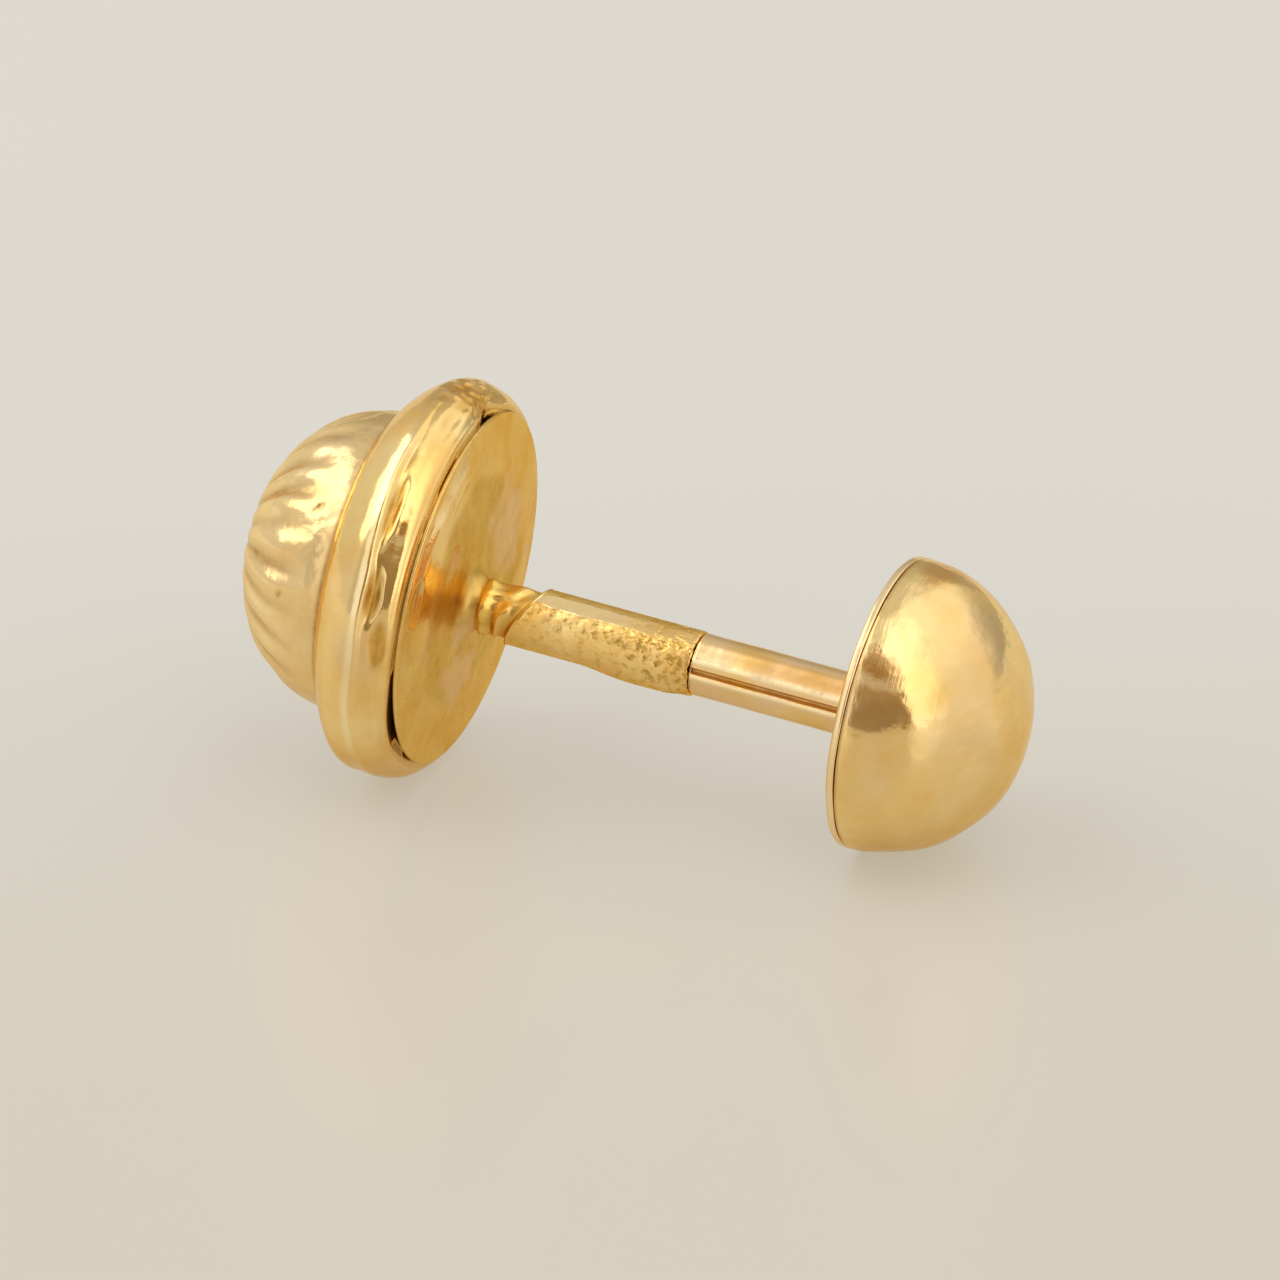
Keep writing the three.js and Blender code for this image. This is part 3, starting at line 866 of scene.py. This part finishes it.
def makeNutBall():
    turn = turns(nut["columns"])
    rim = tube["mouth"] + tube["length"] + nut["plateThickness"] + nut["gap"]
    hollowRadius, hollowHeight = nut["radius"] - nut["sheet"], nut["height"] - nut["sheet"]
    rows = [
        (hollowRadius * math.sin(angle), rim + hollowHeight * math.cos(angle))
        for angle in quarterAngles(nut["hollowRows"])
    ]
    rows += arcRows((nut["radius"] - 0.04, rim), (nut["radius"], rim + 0.03), "in", 4)
    firstOuter = len(rows)
    for i in range(1, nut["rows"] + 1):
        angle = math.pi / 2 * (1 - i / nut["rows"])
        rows.append((
            nut["radius"] * math.sin(angle), rim + 0.03 + (nut["height"] - 0.03) * math.cos(angle),
        ))
    rows[-1] = (0.0, rim + nut["height"])
    radius, place, turnGrid, number = gridOf(rows, turn)
    outer = number >= firstOuter
    bell = smoothStep((number - firstOuter) / 12)
    # burnished by hand in broad soft flats
    press = nut["flats"] * (0.5 + unevenness(radius, place, turnGrid, size=1.6, seed=31)) * bell
    press += nut["smallFlats"] * unevenness(radius, place, turnGrid, size=0.7, seed=32) * bell
    shrink = 1 - press / nut["radius"]
    radius = np.where(outer, radius * shrink, radius)
    place = np.where(outer, rim + (place - rim) * shrink, place)
    # painted shade along the rim, next to the disc, and all over the inside
    rimShade = nut["rimShade"] * smoothStep(1 - (place - rim - 0.03) / 0.03)
    groove = np.where(outer, rimShade, nut["insideShade"])
    redTurn, redHalf, redPlace, redSize = nut["redSpot"]
    reach = turnReach(turnGrid, redTurn, redHalf) + ((place - rim - redPlace) / redSize) ** 2
    redder = nut["redStrength"] * smoothStep(1.3 - reach)
    clouds = unevenness(radius, place, turnGrid, size=1.0, seed=33)
    tarnish = nut["tarnish"] * smoothStep(clouds * 2)
    marks = {"groove": groove, "tarnish": tarnish, "solder": redder}
    piece = turnedPiece("nutHalfBall", radius, place, turn, "nut", marks)
    piece.data.materials.append(nutGold)
    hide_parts("nut_half_ball")


makeNutBall()


# Floor, light and camera

stageLook = {
    # the floor glows a little, painted light as from a light table, so shadows stay soft
    "floorSize": 6.0, "floorColour": (0.25, 0.243, 0.228), "floorRoughness": 0.3,
    "cloudSize": 30.0, "cloudSpan": (0.35, 0.65), "cloudShade": 0.96,
    # painted light: the floor's own glow, dimmer and warmer in front
    "nearGlow": (0.37, 0.335, 0.262), "farGlow": (0.42, 0.402, 0.36),
    "farWay": (-0.37, 0.93, 0.0), "farSpan": (-0.012, 0.016),    # metres
    # the camera
    "distance": 0.32, "azimuth": 21.7, "elevation": 24.5, "frameWidth": 22.0, "sensor": 36.0,
    "target": (0.0, 0.0, 3.0),
}


def makeFloor():
    mesh = bpy.data.meshes.new("floor")
    half = stageLook["floorSize"] / 2
    corners = [(-half, -half, 0), (half, -half, 0), (half, half, 0), (-half, half, 0)]
    mesh.from_pydata(corners, [], [(0, 1, 2, 3)])
    floor = bpy.data.objects.new("floor", mesh)
    bpy.context.scene.collection.objects.link(floor)
    material = bpy.data.materials.new("paleFloor")
    material.use_nodes = True
    tree = material.node_tree
    shader = tree.nodes["Principled BSDF"]
    shader.inputs["Roughness"].default_value = stageLook["floorRoughness"]
    coordinates = addNode(tree, "ShaderNodeTexCoord").outputs["Object"]
    clouds = noiseOf(tree, coordinates, stageLook["cloudSize"], detail=5.0)
    dark = tuple(c * stageLook["cloudShade"] for c in stageLook["floorColour"])
    colour = rampOf(tree, clouds, stageLook["cloudSpan"], (dark, stageLook["floorColour"]))
    tree.links.new(colour, shader.inputs["Base Color"])
    farWay = dotWith(tree, coordinates, stageLook["farWay"])
    farShare = stepOf(tree, farWay, *stageLook["farSpan"])
    glow = mixColours(tree, farShare, stageLook["nearGlow"], stageLook["farGlow"])
    tree.links.new(glow, shader.inputs["Emission Color"])
    shader.inputs["Emission Strength"].default_value = 1.0
    layOut(tree)
    mesh.materials.append(material)


def aimed(location, target):
    return (Vector(target) - Vector(location)).to_track_quat("-Z", "Y")


keyLight = {
    # in metres and watts
    "location": (-0.224, -0.042, 0.266), "target": (0, 0, 0.003), "size": 0.36, "power": 0.38,
    "colour": (1.0, 0.97, 0.92),
}


def makeKeyLight():
    data = bpy.data.lights.new("keyLight", "AREA")
    data.shape = "DISK"
    data.size = keyLight["size"]
    data.energy = keyLight["power"]
    data.color = keyLight["colour"]
    light = bpy.data.objects.new("keyLight", data)
    light.location = keyLight["location"]
    light.rotation_mode = "QUATERNION"
    light.rotation_quaternion = aimed(keyLight["location"], keyLight["target"])
    bpy.context.scene.collection.objects.link(light)


room = {
    "strength": 0.61, "rightAxis": (0.461, 0.887, -0.035),
    "white": (1.0, 0.985, 0.955), "shadeTint": (1.0, 0.62, 0.22), "tintSpan": (1.0, 0.5),
    "brightness": [(0.0, 0.72), (0.35, 0.78), (0.75, 1.1), (1.0, 1.2)],    # from below to above
    # each shade or glow has a strength and soft steps, as way, start and end
    "dim": (0.31, [("front", 0.3, 0.75), ("x", -0.2, -0.1), ("z", 0.6, 0.56)]),
    "card": (0.5, [
        ("z", 0.67, 0.70), ("z", 0.97, 0.93), ("front", 0.1, 0.16), ("x", -0.14, -0.08),
    ]),
    "rightGlow": (0.75, [("right", -0.42, -0.36), ("right", 1.0, 0.75), ("x", -0.05, 0.1)]),
    "rightCore": (0.9, [("right", -0.42, -0.36), ("right", 0.3, -0.15), ("x", -0.05, 0.15)]),
    "leftGlow": (0.5, [("x", -0.35, -0.8)]),
    "sideGlow": (0.85, [("x", -0.5, -0.38), ("x", -0.13, -0.19), ("front", 0.1, 0.3)]),
    "besideGlow": (-0.36, -0.42),
}


def makeRoom():
    # pale room: bright overhead and on the right, dimmer in front, with a dark card high in front
    # and a tall bright opening on the left of the front
    world = bpy.data.worlds.new("room")
    world.use_nodes = True
    tree = world.node_tree
    background = tree.nodes["Background"]
    background.inputs["Strength"].default_value = room["strength"]
    direction = addNode(tree, "ShaderNodeTexCoord").outputs["Generated"]
    axes = {"x": (1, 0, 0), "front": (0, -1, 0), "z": (0, 0, 1), "right": room["rightAxis"]}
    ways = {way: dotWith(tree, direction, axis) for way, axis in axes.items()}

    def partOf(name):
        strength, steps = room[name]
        steps = [stepOf(tree, ways[way], start, end) for way, start, end in steps]
        share = steps[0]
        for step in steps[1:]:
            share = combine(tree, "MULTIPLY", share, step)
        return combine(tree, "MULTIPLY", share, strength)

    heights, values = zip(*room["brightness"])
    total = rampOf(tree, ways["z"], heights, [grey(value) for value in values])
    shade = combine(tree, "MAXIMUM", partOf("dim"), partOf("card"))
    shade = combine(tree, "SUBTRACT", 1.0, shade)
    besideGlow = stepOf(tree, ways["right"], *room["besideGlow"])
    shade = combine(tree, "MAXIMUM", shade, combine(tree, "SUBTRACT", 1.0, besideGlow))
    total = combine(tree, "MULTIPLY", total, shade)
    right = combine(tree, "ADD", partOf("rightGlow"), partOf("rightCore"))
    total = combine(tree, "ADD", total, combine(tree, "ADD", right, partOf("leftGlow")))
    total = combine(tree, "ADD", total, partOf("sideGlow"))
    tintShare = stepOf(tree, shade, *room["tintSpan"])
    tint = mixColours(tree, tintShare, room["white"], room["shadeTint"])
    colour = mixColours(tree, 1.0, total, tint, blend="MULTIPLY")
    tree.links.new(colour, background.inputs["Color"])
    layOut(tree)
    bpy.context.scene.world = world
    bpy.context.scene.view_settings.view_transform = "Standard"


def makeCamera():
    data = bpy.data.cameras.new("camera")
    data.sensor_width = stageLook["sensor"]
    data.lens = stageLook["sensor"] * stageLook["distance"] / (stageLook["frameWidth"] * mm)
    data.clip_start = 0.01
    data.clip_end = 10
    turn, tilt = math.radians(stageLook["azimuth"]), math.radians(stageLook["elevation"])
    back = Vector((
        math.sin(turn) * math.cos(tilt), -math.cos(turn) * math.cos(tilt), math.sin(tilt),
    ))
    target = Vector(stageLook["target"]) * mm
    camera = bpy.data.objects.new("camera", data)
    camera.location = target + back * stageLook["distance"]
    camera.rotation_mode = "QUATERNION"
    camera.rotation_quaternion = aimed(camera.location, target)
    bpy.context.scene.collection.objects.link(camera)
    bpy.context.scene.camera = camera


makeFloor()
makeKeyLight()
makeRoom()
makeCamera()
print("floor, light and camera made")
